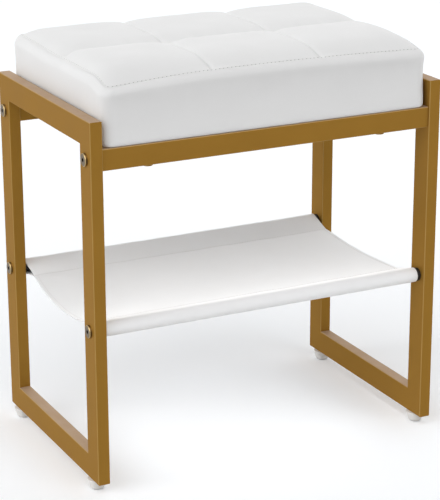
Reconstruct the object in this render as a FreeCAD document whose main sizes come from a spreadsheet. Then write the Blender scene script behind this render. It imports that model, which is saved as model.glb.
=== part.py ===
import FreeCAD, Part
import math
import os
import Sketcher

# Vanity stool: two welded rectangular loops of flat steel tube, joined by two
# square rails that carry an upholstered seat, and by two round rods that carry
# a fabric shelf. Millimetres, +Z up, front towards -Y, origin on the floor
# under the middle of the stool.

Vector = FreeCAD.Vector
doc = FreeCAD.newDocument("vanity_stool")
sheet = doc.addObject("Spreadsheet::Sheet", "Sizes")

SIZES = [
    # Whole frame
    ("frame_width", 450.0),
    ("loop_depth", 280.0),
    ("loop_height", 430.0),
    # Flat tube of the loops
    ("tube_narrow", 15.0),
    ("tube_broad", 30.0),
    ("tube_wall", 1.2),
    ("tube_edge_radius", 1.5),
    # Square rails under the seat
    ("rail_side", 25.0),
    ("rail_wall", 1.2),
    ("rail_edge_radius", 1.5),
    ("rail_drop", 32.0),
    ("rail_plate_thickness", 3.0),
    # Round rods of the shelf
    ("rod_diameter", 16.0),
    ("rod_wall", 1.2),
    ("rod_height", 185.0),
    ("rod_plug_length", 12.0),
    # Bolts and screws
    ("bolt_diameter", 6.0),
    ("bolt_head_diameter", 15.0),
    ("bolt_head_height", 2.8),
    ("bolt_head_chamfer", 0.7),
    ("bolt_socket", 4.0),
    ("bolt_socket_depth", 2.2),
    ("bolt_engagement", 9.0),
    ("bolt_hole_clearance", 0.3),
    ("thread_clearance", 0.05),
    ("screw_head_diameter", 12.0),
    ("screw_head_height", 3.3),
    ("screw_spacing", 300.0),
    ("screw_tip_gap", 0.6),
    ("tee_flange_diameter", 18.0),
    ("tee_flange_thickness", 1.2),
    ("tee_barrel_diameter", 8.0),
    ("tee_clearance", 0.1),
    # Levelling feet
    ("foot_height", 12.0),
    ("foot_top_diameter", 22.0),
    ("foot_base_diameter", 17.0),
    ("foot_base_round", 1.5),
    ("foot_rim", 1.5),
    ("foot_inset", 22.0),
    ("foot_stud_embed", 8.0),
    ("foot_stud_rise", 17.0),
    ("foot_nut_width", 10.0),
    ("foot_nut_height", 7.0),
    # Fabric shelf
    ("fabric_thickness", 0.7),
    ("fabric_ease", 0.3),
    ("shelf_end_gap", 5.0),
    ("pocket_depth", 35.0),
    ("pocket_drop", 2.5),
    ("pocket_seam_lap", 2.8),
    ("sag_left", 16.0),
    ("sag_middle", 11.0),
    ("sag_right", 6.0),
    # Upholstered seat
    ("seat_end_gap", 2.0),
    ("seat_overhang", 0.5),
    ("seat_corner_radius", 10.0),
    ("side_draw", 2.0),
    ("cover_thickness", 1.2),
    ("flap_width", 32.0),
    ("foam_ease", 0.3),
    ("board_thickness", 12.0),
    ("dust_cover_thickness", 0.6),
    ("border_height", 69.0),
    ("corner_dip", 4.0),
    ("roll_width", 17.0),
    ("roll_rise", 10.5),
    ("edge_fall", 2.0),
    ("crown_rise", 17.0),
    ("panel_seam_depth", 6.0),
    ("middle_seam_depth", 4.5),
    ("crossing_depth", 6.0),
    ("seam_shoulder", 15.0),
    ("end_roll_drop", 5.0),
    ("end_crown_rise", 4.0),
    ("end_valley_rise", 3.0),
    ("form_margin", 2.0),
]

# Share of a seam's depth that is left at its shoulder
SHOULDER_SHARE = 0.3

# An edge runs along a direction when their cosine is above this
ALONG_COSINE = 0.999

# Sizes worked out from the ones above, as formulas of the sheet
DERIVED = [
    ("frame_top", "=foot_height + loop_height"),
    ("half_width", "=frame_width / 2"),
    ("half_depth", "=loop_depth / 2"),
    ("inner_half", "=frame_width / 2 - tube_narrow"),
    ("leg_centre", "=loop_depth / 2 - tube_broad / 2"),
    ("rail_top", "=foot_height + loop_height - rail_drop"),
    ("rail_centre", "=foot_height + loop_height - rail_drop - rail_side / 2"),
    ("rod_centre", "=foot_height + rod_height"),
    ("hole_diameter", "=bolt_diameter + 2 * bolt_hole_clearance"),
    ("thread_hole", "=bolt_diameter + 2 * thread_clearance"),
    ("foot_place", "=loop_depth / 2 - foot_inset"),
    ("foot_line", "=frame_width / 2 - tube_narrow / 2"),
    ("rail_bore", "=rail_side - 2 * rail_wall"),
    ("rod_bore", "=rod_diameter - 2 * rod_wall"),
    ("rail_length", "=frame_width - 2 * tube_narrow"),
    ("seat_half_width", "=frame_width / 2 - tube_narrow - seat_end_gap"),
    ("seat_half_depth", "=loop_depth / 2 - tube_broad / 2 + rail_side / 2 + seat_overhang"),
    ("seat_border", "=foot_height + loop_height - rail_drop + border_height"),
    ("board_base", "=foot_height + loop_height - rail_drop + cover_thickness"),
    ("board_top", "=foot_height + loop_height - rail_drop + cover_thickness + board_thickness"),
]

for row_number, (alias, value) in enumerate(SIZES + DERIVED, start=1):
    sheet.set("A%d" % row_number, alias)
    sheet.set("B%d" % row_number, str(value))
    sheet.setAlias("B%d" % row_number, alias)
doc.recompute()


def size(alias):
    return float(sheet.get(alias))


def bind(item, **formulas):
    """Ties properties of an object to formulas of the sheet."""
    for name, formula in formulas.items():
        item.setExpression(name, formula)


def cell(alias):
    return "Sizes." + alias


nodes = []


def keep(item, label):
    """Marks a finished sub-part: its label is its node name."""
    item.Label = label
    nodes.append(item)
    return item


def axes_placement(base, along, inward):
    """Placement whose local X runs along, and local Y inward."""
    across = along.cross(inward)
    matrix = FreeCAD.Matrix(
        along.x, inward.x, across.x, base.x,
        along.y, inward.y, across.y, base.y,
        along.z, inward.z, across.z, base.z,
        0.0, 0.0, 0.0, 1.0,
    )
    return FreeCAD.Placement(matrix)


def cylinder(name, radius, height, base, direction):
    """Cylinder bound to two formulas, from base along direction."""
    item = doc.addObject("Part::Cylinder", name)
    bind(item, Radius=radius, Height=height)
    turn = FreeCAD.Rotation(Vector(0, 0, 1), direction)
    item.Placement = FreeCAD.Placement(base, turn)
    return item


def fuse(name, shapes):
    item = doc.addObject("Part::MultiFuse", name)
    item.Shapes = shapes
    return item


def cut(name, base, tools):
    item = doc.addObject("Part::Cut", name)
    item.Base = base
    item.Tool = tools[0] if len(tools) == 1 else fuse(name + "_tools", tools)
    return item


def round_edges(name, base, radius, direction):
    """Rounds every straight edge of a base that runs along a direction."""
    doc.recompute()
    chosen = []
    for number, edge in enumerate(base.Shape.Edges, start=1):
        line = edge.Vertexes[-1].Point - edge.Vertexes[0].Point
        if line.Length > 0 and abs(line.normalize().dot(direction)) > ALONG_COSINE:
            chosen.append((number, radius, radius))
    item = doc.addObject("Part::Fillet", name)
    item.Base = base
    item.Edges = chosen
    return item


# Loop tubes: each loop is four pieces of flat tube, mitred and welded

def mitred_bar(name, length, corner, along, inward):
    """A mitred flat tube, its long outer edge starting at a corner."""
    outer = doc.addObject("Part::Wedge", name + "_outside")
    bind(
        outer, Xmax=length, X2min=cell("tube_broad"), X2max=length + " - " + cell("tube_broad"),
        Ymax=cell("tube_broad"), Zmax=cell("tube_narrow"), Z2max=cell("tube_narrow"),
    )
    outer.Xmin = outer.Ymin = outer.Zmin = outer.Z2min = 0.0
    outer.Placement = axes_placement(corner, along, inward)
    wall = cell("tube_wall")
    bore = doc.addObject("Part::Wedge", name + "_bore")
    far_side = cell("tube_broad") + " - " + wall
    bind(
        bore, Xmin=wall, Xmax=length + " - " + wall, X2min=far_side,
        X2max=length + " - " + cell("tube_broad") + " + " + wall,
        Ymin=wall, Ymax=far_side,
        Zmin=wall, Zmax=cell("tube_narrow") + " - " + wall,
        Z2min=wall, Z2max=cell("tube_narrow") + " - " + wall,
    )
    bore.Placement = axes_placement(corner, along, inward)
    rounded = round_edges(name + "_rounded", outer, size("tube_edge_radius"), along)
    return rounded, bore


def make_loop(side, low_x):
    """One side loop; low_x is its lower X face."""
    depth = cell("loop_depth")
    height = cell("loop_height")
    back = size("half_depth")
    floor_gap = size("foot_height")
    top = size("frame_top")
    up = Vector(0, 0, 1)
    rear = Vector(0, 1, 0)
    bars = {
        "front_leg": (height, Vector(low_x, -back, top), -up, rear),
        "rear_leg": (height, Vector(low_x, back, floor_gap), up, -rear),
        "top_bar": (depth, Vector(low_x, back, top), -rear, -up),
        "bottom_bar": (depth, Vector(low_x, -back, floor_gap), rear, up),
    }
    for part, (length, corner, along, inward) in bars.items():
        name = side + "_" + part
        rounded, bore = mitred_bar(name, length, corner, along, inward)
        tools = [bore]
        if part.endswith("leg"):
            leg_y = -size("leg_centre") if part == "front_leg" else size("leg_centre")
            for height_name in ("rail_centre", "rod_centre"):
                hole = cylinder(
                    name + "_" + height_name, cell("hole_diameter") + " / 2", cell("tube_narrow"),
                    Vector(low_x, leg_y, size(height_name)), Vector(1, 0, 0),
                )
                tools.append(hole)
        if part == "bottom_bar":
            for foot_y in (-size("foot_place"), size("foot_place")):
                hole = cylinder(
                    name + "_foot_hole", cell("hole_diameter") + " / 2", cell("tube_wall") + " * 2",
                    Vector(low_x + size("tube_narrow") / 2, foot_y, floor_gap), up,
                )
                tools.append(hole)
        keep(cut(name, rounded, tools), name)


make_loop("left", -size("half_width"))
make_loop("right", size("inner_half"))


# Rails: square tube with a tapped plate welded flush in each end, and two
# upright holes for the screws that hold the seat

def make_rail(name, rail_y):
    outer = doc.addObject("Part::Box", name + "_outside")
    bind(outer, Length=cell("rail_length"), Width=cell("rail_side"), Height=cell("rail_side"))
    low = Vector(-size("inner_half"), rail_y - size("rail_side") / 2, size("rail_top") - size("rail_side"))
    outer.Placement.Base = low
    rounded = round_edges(name + "_rounded", outer, size("rail_edge_radius"), Vector(1, 0, 0))
    bore = doc.addObject("Part::Box", name + "_bore")
    bind(bore, Length=cell("rail_length"), Width=cell("rail_bore"), Height=cell("rail_bore"))
    bore.Placement.Base = low + Vector(0, size("rail_wall"), size("rail_wall"))
    tools = [bore]
    for screw_x in (-size("screw_spacing") / 2, size("screw_spacing") / 2):
        hole = cylinder(
            name + "_screw_hole", cell("hole_diameter") + " / 2", cell("rail_side"),
            Vector(screw_x, rail_y, low.z), Vector(0, 0, 1),
        )
        tools.append(hole)
    keep(cut(name, rounded, tools), name)


SIDES = (("front", -size("leg_centre")), ("rear", size("leg_centre")))
for place, rail_y in SIDES:
    make_rail(place + "_rail", rail_y)


def group(label, pieces):
    """One node that holds several separate solids of the same kind."""
    item = doc.addObject("Part::Compound", label)
    item.Links = pieces
    return keep(item, label)


def make_rail_plate(name, end_x, inward_x, rail_y):
    plate = doc.addObject("Part::Box", name)
    bind(plate, Length=cell("rail_plate_thickness"), Width=cell("rail_bore"), Height=cell("rail_bore"))
    low_x = min(end_x, end_x + inward_x * size("rail_plate_thickness"))
    half = size("rail_bore") / 2
    plate.Placement.Base = Vector(low_x, rail_y - half, size("rail_centre") - half)
    thread = cylinder(
        name + "_thread", cell("thread_hole") + " / 2", cell("rail_plate_thickness"),
        Vector(low_x, rail_y, size("rail_centre")), Vector(1, 0, 0),
    )
    return cut(name + "_tapped", plate, [thread])


ENDS = (("left", -size("inner_half"), 1), ("right", size("inner_half"), -1))
plates = []
for place, rail_y in SIDES:
    for end, end_x, inward_x in ENDS:
        plates.append(make_rail_plate(place + "_" + end + "_plate", end_x, inward_x, rail_y))
group("rail_end_plates", plates)


# Shelf rods: round tube with a tapped plug pressed flush into each end

def make_rod(name, rod_y):
    base = Vector(-size("inner_half"), rod_y, size("rod_centre"))
    outer = cylinder(name + "_outside", cell("rod_diameter") + " / 2", cell("rail_length"), base, Vector(1, 0, 0))
    bore = cylinder(name + "_bore", cell("rod_bore") + " / 2", cell("rail_length"), base, Vector(1, 0, 0))
    keep(cut(name, outer, [bore]), name)


def make_rod_plug(name, end_x, inward_x, rod_y):
    base = Vector(end_x, rod_y, size("rod_centre"))
    along = Vector(inward_x, 0, 0)
    body = cylinder(name, cell("rod_bore") + " / 2", cell("rod_plug_length"), base, along)
    thread = cylinder(name + "_thread", cell("thread_hole") + " / 2", cell("rod_plug_length"), base, along)
    return cut(name + "_tapped", body, [thread])


plugs = []
for place, rod_y in SIDES:
    make_rod(place + "_shelf_rod", rod_y)
    for end, end_x, inward_x in ENDS:
        plugs.append(make_rod_plug(place + "_" + end + "_plug", end_x, inward_x, rod_y))
group("rod_end_plugs", plugs)


# Turned pieces: a sketch of half the outline, turned about the body's Z axis

def outline_sketch(body, name, corners):
    """Closed outline in the XZ plane; each corner is two formulas and values."""
    plane = next(item for item in body.Origin.OriginFeatures if item.Role == "XZ_Plane")
    sketch = body.newObject("Sketcher::SketchObject", name)
    sketch.AttachmentSupport = [(plane, "")]
    sketch.MapMode = "FlatFace"
    points = [Vector(radius[1], height[1], 0) for radius, height in corners]
    count = len(points)
    for number in range(count):
        sketch.addGeometry(Part.LineSegment(points[number], points[(number + 1) % count]), False)
    for number in range(count):
        sketch.addConstraint(Sketcher.Constraint("Coincident", number, 2, (number + 1) % count, 1))
    for number, (radius, height) in enumerate(corners):
        for kind, axis_id, (formula, value) in (("DistanceX", -2, radius), ("DistanceY", -1, height)):
            if value == 0:
                sketch.addConstraint(Sketcher.Constraint("PointOnObject", number, 1, axis_id))
            else:
                index = sketch.addConstraint(Sketcher.Constraint(kind, -1, 1, number, 1, value))
                sketch.setExpression("Constraints[%d]" % index, formula)
    return sketch


def turned_body(name, corners):
    """PartDesign body: the outline revolved a full turn about Z."""
    body = doc.addObject("PartDesign::Body", name)
    sketch = outline_sketch(body, name + "_outline", corners)
    turn = body.newObject("PartDesign::Revolution", name + "_turn")
    turn.Profile = sketch
    turn.ReferenceAxis = (sketch, ["V_Axis"])
    turn.Angle = 360.0
    body.Tip = turn
    return body


def corner(radius_formula, radius_value, height_formula, height_value):
    return (radius_formula, radius_value), (height_formula, height_value)


def make_bolt(name, head_base, outward, head_diameter, head_height, shank_length, shank_value):
    """Flat-headed bolt: turned outline, then a hexagon socket in the head.

    head_base is where the head's underside meets what it clamps.
    """
    head_r = size(head_diameter) / 2
    head_h = size(head_height)
    shank_r = size("bolt_diameter") / 2
    chamfer = size("bolt_head_chamfer")
    head = cell(head_diameter) + " / 2"
    tall = cell(head_height)
    shank = cell("bolt_diameter") + " / 2"
    full = shank_length + " + " + tall
    body = turned_body(name, [
        corner("0", 0.0, "0", 0.0),
        corner(shank, shank_r, "0", 0.0),
        corner(shank, shank_r, shank_length, shank_value),
        corner(head, head_r, shank_length, shank_value),
        corner(head, head_r, full + " - " + cell("bolt_head_chamfer"), shank_value + head_h - chamfer),
        corner(head + " - " + cell("bolt_head_chamfer"), head_r - chamfer, full, shank_value + head_h),
        corner("0", 0.0, full, shank_value + head_h),
    ])
    socket = doc.addObject("Part::Prism", name + "_socket")
    socket.Polygon = 6
    bind(
        socket, Circumradius=cell("bolt_socket") + " / 2 / cos(30 deg)",
        Height=cell("bolt_socket_depth"),
    )
    place = FreeCAD.Placement(head_base - outward * shank_value, FreeCAD.Rotation(Vector(0, 0, 1), outward))
    body.Placement = place
    socket_base = head_base + outward * (head_h - size("bolt_socket_depth"))
    socket.Placement = FreeCAD.Placement(socket_base, place.Rotation)
    return cut(name + "_finished", body, [socket])


frame_bolt_length = cell("tube_narrow") + " + " + cell("bolt_engagement")
frame_bolt_value = size("tube_narrow") + size("bolt_engagement")
OUTSIDES = (("left", -size("half_width"), -1), ("right", size("half_width"), 1))


def make_frame_bolts(label, height):
    bolts = []
    for place, leg_y in SIDES:
        for end, face_x, outward_x in OUTSIDES:
            bolts.append(make_bolt(
                "%s_%s_%s" % (label, place, end), Vector(face_x, leg_y, height), Vector(outward_x, 0, 0),
                "bolt_head_diameter", "bolt_head_height", frame_bolt_length, frame_bolt_value,
            ))
    group(label, bolts)


make_frame_bolts("rail_bolts", size("rail_centre"))
make_frame_bolts("shelf_rod_bolts", size("rod_centre"))

# Seat screws: up through the rail into a tee nut let into the top of the board

tee_clearance = size("tee_clearance")
screw_length = " + ".join(cell(name) for name in ("rail_side", "cover_thickness", "board_thickness"))
screw_value = size("rail_side") + size("cover_thickness") + size("board_thickness")
SCREW_PLACES = [
    ("%s_%s" % (place, end), Vector(end_sign * size("screw_spacing") / 2, rail_y, 0))
    for place, rail_y in SIDES
    for end, end_sign in (("left", -1), ("right", 1))
]
screws = []
tee_nuts = []
board_tools = []
for name, spot in SCREW_PLACES:
    under_rail = spot + Vector(0, 0, size("rail_top") - size("rail_side"))
    screws.append(make_bolt(
        name + "_seat_screw", under_rail, Vector(0, 0, -1),
        "screw_head_diameter", "screw_head_height",
        screw_length + " - " + cell("screw_tip_gap"), screw_value - size("screw_tip_gap"),
    ))
    flange_base = spot + Vector(0, 0, size("board_top") - size("tee_flange_thickness"))
    barrel_base = spot + Vector(0, 0, size("board_base"))
    up = Vector(0, 0, 1)
    flange = cylinder(
        name + "_flange", cell("tee_flange_diameter") + " / 2", cell("tee_flange_thickness"), flange_base, up)
    barrel = cylinder(
        name + "_barrel", cell("tee_barrel_diameter") + " / 2", cell("board_thickness"), barrel_base, up)
    thread = cylinder(
        name + "_tee_thread", cell("thread_hole") + " / 2", cell("board_thickness"), barrel_base, up)
    tee_nuts.append(cut(name + "_tee_nut", fuse(name + "_tee", [flange, barrel]), [thread]))
    board_tools.append(cylinder(
        name + "_flange_seat", cell("tee_flange_diameter") + " / 2 + " + cell("tee_clearance"),
        cell("tee_flange_thickness"), flange_base, up))
    board_tools.append(cylinder(
        name + "_barrel_hole", cell("tee_barrel_diameter") + " / 2 + " + cell("tee_clearance"),
        cell("board_thickness"), barrel_base, up))
group("seat_screws", screws)
group("seat_tee_nuts", tee_nuts)


# Levelling feet: a tapered plastic pad moulded on a steel stud, which screws
# into a nut welded inside the bottom bar

def make_foot(name, spot):
    top_r = size("foot_top_diameter") / 2
    base_r = size("foot_base_diameter") / 2
    tall = size("foot_height")
    rim = size("foot_rim")
    round_off = size("foot_base_round")
    top = cell("foot_top_diameter") + " / 2"
    base = cell("foot_base_diameter") + " / 2"
    height = cell("foot_height")
    pad = turned_body(name + "_pad_blank", [
        corner("0", 0.0, "0", 0.0),
        corner(base + " - " + cell("foot_base_round"), base_r - round_off, "0", 0.0),
        corner(base, base_r, cell("foot_base_round"), round_off),
        corner(top, top_r, height + " - " + cell("foot_rim"), tall - rim),
        corner(top, top_r, height, tall),
        corner("0", 0.0, height, tall),
    ])
    pad.Placement.Base = spot
    stud_base = spot + Vector(0, 0, tall - size("foot_stud_embed"))
    stud_length = cell("foot_stud_embed") + " + " + cell("foot_stud_rise")
    socket = cylinder(
        name + "_stud_socket", cell("bolt_diameter") + " / 2", cell("foot_stud_embed"),
        stud_base, Vector(0, 0, 1))
    keep(cut(name + "_pad", pad, [socket]), name + "_pad")
    stud = cylinder(name + "_stud", cell("bolt_diameter") + " / 2", stud_length, stud_base, Vector(0, 0, 1))
    keep(stud, name + "_stud")


def make_foot_nut(name, spot):
    nut = doc.addObject("Part::Prism", name)
    nut.Polygon = 6
    bind(nut, Circumradius=cell("foot_nut_width") + " / 2 / cos(30 deg)", Height=cell("foot_nut_height"))
    base = spot + Vector(0, 0, size("foot_height") + size("tube_wall"))
    flats_to_walls = FreeCAD.Rotation(Vector(0, 0, 1), 30)
    nut.Placement = FreeCAD.Placement(base, flats_to_walls)
    thread = cylinder(name + "_thread", cell("thread_hole") + " / 2", cell("foot_nut_height"), base, Vector(0, 0, 1))
    return cut(name + "_tapped", nut, [thread])


foot_nuts = []
for end, foot_x in (("left", -size("foot_line")), ("right", size("foot_line"))):
    for place, foot_y in (("front", -size("foot_place")), ("rear", size("foot_place"))):
        foot_name = "%s_%s_foot" % (place, end)
        make_foot(foot_name, Vector(foot_x, foot_y, 0))
        foot_nuts.append(make_foot_nut(foot_name + "_nut", Vector(foot_x, foot_y, 0)))
group("foot_weld_nuts", foot_nuts)


# Fabric shelf: a sheet with a sewn pocket round each rod, hanging between them

def arc_edge(start, middle, end):
    return Part.Arc(start, middle, end).toShape()


def pocket_solid(outward_y, radius, tip_reach, length, low_x):
    """Teardrop round a rod: a circle drawn out to the line where it is sewn."""
    axis_z = size("rod_centre")
    rod_y = outward_y * size("leg_centre")
    tip = Vector(low_x, rod_y - outward_y * tip_reach, axis_z - size("pocket_drop"))
    centre = Vector(low_x, rod_y, axis_z)
    reach = tip - centre
    toward = math.atan2(reach.z, reach.y)
    opening = math.acos(radius / reach.Length)

    def on_circle(angle):
        return centre + Vector(0, radius * math.cos(angle), radius * math.sin(angle))

    first = on_circle(toward + opening)
    last = on_circle(toward - opening)
    back = on_circle(toward + math.pi)
    side_one = on_circle((toward + opening + toward + math.pi) / 2)
    side_two = on_circle((toward - opening + toward - math.pi) / 2)
    wire = Part.Wire([
        Part.LineSegment(tip, first).toShape(),
        arc_edge(first, side_one, back),
        arc_edge(back, side_two, last),
        Part.LineSegment(last, tip).toShape(),
    ])
    return Part.Face(wire).extrude(Vector(length, 0, 0))


def sheet_section(x, sag):
    """Cross-section of the sheet between the two sewn lines, at one place."""
    half_span = size("leg_centre") - size("pocket_depth")
    edge_z = size("rod_centre") - size("pocket_drop")
    half_cloth = size("fabric_thickness") / 2
    upper = [Vector(x, y, z + half_cloth) for y, z in (
        (-half_span, edge_z), (0, edge_z - sag), (half_span, edge_z))]
    lower = [Vector(x, y, z - half_cloth) for y, z in (
        (half_span, edge_z), (0, edge_z - sag), (-half_span, edge_z))]
    return Part.Wire([
        arc_edge(*upper),
        Part.LineSegment(upper[2], lower[0]).toShape(),
        arc_edge(*lower),
        Part.LineSegment(lower[2], upper[0]).toShape(),
    ])


def make_shelf():
    half_length = size("inner_half") - size("shelf_end_gap")
    inner_radius = size("rod_diameter") / 2 + size("fabric_ease")
    outer_radius = inner_radius + size("fabric_thickness")
    sections = [
        sheet_section(-half_length, size("sag_left")),
        sheet_section(0, size("sag_middle")),
        sheet_section(half_length, size("sag_right")),
    ]
    cloth = Part.makeLoft(sections, True, False)
    seam_lap = size("pocket_seam_lap")
    for outward_y in (-1, 1):
        outside = pocket_solid(
            outward_y, outer_radius, size("pocket_depth") + seam_lap, 2 * half_length, -half_length)
        inside = pocket_solid(
            outward_y, inner_radius, size("pocket_depth") - seam_lap, 2 * half_length, -half_length)
        cloth = cloth.fuse(outside).cut(inside)
    shelf = doc.addObject("Part::Feature", "shelf_sling")
    shelf.Shape = cloth.removeSplitter()
    keep(shelf, "shelf_sling")


make_shelf()


# Upholstered seat: a crowned box cushion with three by two sewn panels

def tangent_arc(start, end, heading):
    """Arc from start to end that arrives at end along a heading."""
    chord = end - start
    normal = Vector(0, -heading.z, heading.y)
    reach = chord.dot(chord) / (2 * chord.dot(normal))
    centre = end - normal * reach
    middle = (start + end) * 0.5 - centre
    middle.normalize()
    return arc_edge(start, centre + middle * abs(reach), end)


def crown_section(x, border, shoulder_z, crown, middle, inset):
    """Section across the cushion: two panels that meet at the middle seam."""
    half = size("seat_half_depth") - inset
    roll_y = half - size("roll_width")
    beyond = half + size("form_margin")
    crown_y = half / 2
    start_z = border - size("edge_fall")
    bottom = size("rail_top") + inset
    front_start = Vector(x, -beyond, start_z)
    front_shoulder = Vector(x, -roll_y, shoulder_z)
    front_crown = Vector(x, -crown_y, crown)
    valley = Vector(x, 0, middle)
    rear_crown = Vector(x, crown_y, crown)
    rear_shoulder = Vector(x, roll_y, shoulder_z)
    rear_start = Vector(x, beyond, start_z)
    front_panel = Part.Arc(front_shoulder, front_crown, valley)
    heading = Vector(*front_panel.tangent(front_panel.FirstParameter)[0])
    front_roll = tangent_arc(front_start, front_shoulder, heading)
    mirrored = Vector(0, heading.y, -heading.z)
    rear_roll = tangent_arc(rear_start, rear_shoulder, mirrored * -1)
    low_rear = Vector(x, beyond, bottom)
    low_front = Vector(x, -beyond, bottom)
    return Part.Wire([
        front_roll,
        front_panel.toShape(),
        arc_edge(valley, rear_crown, rear_shoulder),
        rear_roll,
        Part.LineSegment(rear_start, low_rear).toShape(),
        Part.LineSegment(low_rear, low_front).toShape(),
        Part.LineSegment(low_front, front_start).toShape(),
    ])


def rounded_outline(half_x, half_y, radius, z):
    """Rounded rectangle in plan."""
    diagonal = radius * math.sqrt(0.5)
    edges = []
    turns = [(1, 1), (-1, 1), (-1, -1), (1, -1)]
    for number, (sign_x, sign_y) in enumerate(turns):
        centre = Vector(sign_x * (half_x - radius), sign_y * (half_y - radius), z)
        along_x = centre + Vector(sign_x * radius, 0, 0)
        along_y = centre + Vector(0, sign_y * radius, 0)
        middle = centre + Vector(sign_x * diagonal, sign_y * diagonal, 0)
        start, end = (along_x, along_y) if number % 2 == 0 else (along_y, along_x)
        edges.append((start, middle, end))
    shapes = []
    for number, (start, middle, end) in enumerate(edges):
        shapes.append(arc_edge(start, middle, end))
        following = edges[(number + 1) % len(edges)][0]
        shapes.append(Part.LineSegment(end, following).toShape())
    return Part.Wire(shapes)


def seat_form(inset):
    """The cushion's outer form, or the same form inset by a thickness."""
    border = size("seat_border") - inset
    crown = border + size("crown_rise")
    half_x = size("seat_half_width") - inset
    half_y = size("seat_half_depth") - inset
    radius = size("seat_corner_radius") - inset
    third = size("seat_half_width") / 3
    reach = size("seam_shoulder")
    panel_middle = crown - size("middle_seam_depth")
    end_border = border - size("corner_dip")
    roll_x = half_x - size("roll_width")
    outer_middle = (third + half_x) / 2
    margin = size("form_margin")

    def seam_at(x, share=1.0):
        """Section where a crosswise seam pulls the panels down, or near it."""
        panel_drop = share * size("panel_seam_depth")
        roll_top = border + size("roll_rise") - panel_drop / 2
        valley = panel_middle - share * size("crossing_depth")
        return crown_section(x, border, roll_top, crown - panel_drop, valley, inset)

    def middle_at(x):
        """Section through the fullest part of two panels."""
        return seam_at(x, 0.0)

    def roll_at(x):
        """Section over the rounded edge at one end."""
        height = border - size("corner_dip") / 2
        drop = size("end_roll_drop")
        roll_top = height + size("roll_rise") - drop / 2
        return crown_section(x, height, roll_top, crown - drop, panel_middle - drop / 2, inset)

    def end_at(x):
        """Section at the end seam, where the panels come down to the border."""
        rise = size("end_crown_rise")
        valley = end_border + size("end_valley_rise")
        return crown_section(x, end_border, end_border + rise / 2, end_border + rise, valley, inset)

    middle_sections = [
        seam_at(-third), seam_at(-third + reach, SHOULDER_SHARE), middle_at(0),
        seam_at(third - reach, SHOULDER_SHARE), seam_at(third),
    ]
    crown_block = Part.makeLoft(middle_sections, True, False)
    for sign in (-1, 1):
        end_sections = [
            seam_at(sign * third), seam_at(sign * (third + reach), SHOULDER_SHARE),
            middle_at(sign * outer_middle), roll_at(sign * roll_x), end_at(sign * (half_x + margin)),
        ]
        crown_block = crown_block.fuse(Part.makeLoft(end_sections, True, False))
    base_z = size("rail_top") + inset
    draw = size("side_draw")
    waist_z = (base_z + border) / 2
    over_z = crown + size("crown_rise")
    sides = Part.makeLoft([
        rounded_outline(half_x, half_y, radius, base_z),
        rounded_outline(half_x - draw, half_y - draw, radius, waist_z),
        rounded_outline(half_x, half_y, radius, border),
        rounded_outline(half_x, half_y, radius, over_z),
    ], True, False)
    return crown_block.common(sides).removeSplitter()


def prism(half_x, half_y, radius, low_z, high_z):
    """Upright block with rounded corners."""
    face = Part.Face(rounded_outline(half_x, half_y, radius, low_z))
    return face.extrude(Vector(0, 0, high_z - low_z))


def screw_passages(low_z, high_z):
    """Clearance for the four seat screws, as one shape."""
    radius = size("hole_diameter") / 2
    return Part.makeCompound([
        Part.makeCylinder(radius, high_z - low_z, Vector(spot.x, spot.y, low_z))
        for name, spot in SCREW_PLACES
    ])


def make_seat():
    """Cover turned under the board as flaps, foam, board and dust cloth."""
    thickness = size("cover_thickness")
    outer = seat_form(0.0)
    inner = seat_form(thickness)
    corner_radius = size("seat_corner_radius")
    margin = size("form_margin")
    bottom = size("rail_top")
    below_flaps = bottom - margin
    above_flaps = size("board_base") + margin
    opening_x = size("seat_half_width") - size("flap_width")
    opening_y = size("seat_half_depth") - size("flap_width")
    opening = prism(opening_x, opening_y, corner_radius, below_flaps, above_flaps)
    passages = screw_passages(below_flaps, above_flaps)
    cover = doc.addObject("Part::Feature", "seat_cover")
    cover.Shape = outer.cut(inner).cut(opening).cut(passages)
    keep(cover, "seat_cover")

    ease = size("foam_ease")
    board_x = size("seat_half_width") - thickness - size("side_draw") - ease
    board_y = size("seat_half_depth") - thickness - size("side_draw") - ease
    board_radius = corner_radius - thickness
    foam = seat_form(thickness + ease)
    whole_x = size("seat_half_width") + margin
    whole_y = size("seat_half_depth") + margin
    below = prism(whole_x, whole_y, board_radius, below_flaps, size("board_top"))
    foam_node = doc.addObject("Part::Feature", "seat_foam")
    foam_node.Shape = foam.cut(below)
    keep(foam_node, "seat_foam")

    blank = doc.addObject("Part::Feature", "seat_board_blank")
    blank.Shape = prism(board_x, board_y, board_radius, size("board_base"), size("board_top"))
    keep(cut("seat_board", blank, board_tools), "seat_board")

    cloth = doc.addObject("Part::Feature", "dust_cover")
    cloth.Shape = prism(
        opening_x - ease, opening_y - ease, corner_radius - ease,
        size("board_base") - size("dust_cover_thickness"), size("board_base"),
    )
    keep(cloth, "dust_cover")


make_seat()

doc.recompute()

os.makedirs("parts", exist_ok=True)
faults = []
for item in doc.Objects:
    if "Invalid" in item.State or "Error" in item.State:
        faults.append("%s: %s" % (item.Label, item.State))
for item in nodes:
    if item.Shape.isNull() or not item.Shape.isValid() or not item.Shape.Solids:
        faults.append("%s has no valid solid" % item.Label)
if faults:
    raise RuntimeError("; ".join(faults))

for item in nodes:
    item.Shape.exportStep("parts/%s.step" % item.Label)
    box = item.Shape.BoundBox
    print("%-24s %2d solids %10.1f mm3  z %7.2f to %7.2f" % (
        item.Label, len(item.Shape.Solids), item.Shape.Volume, box.ZMin, box.ZMax))
print("%d nodes" % len(nodes))
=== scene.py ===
import math

import bpy
import numpy as np
from mathutils import Matrix, Vector, noise


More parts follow.
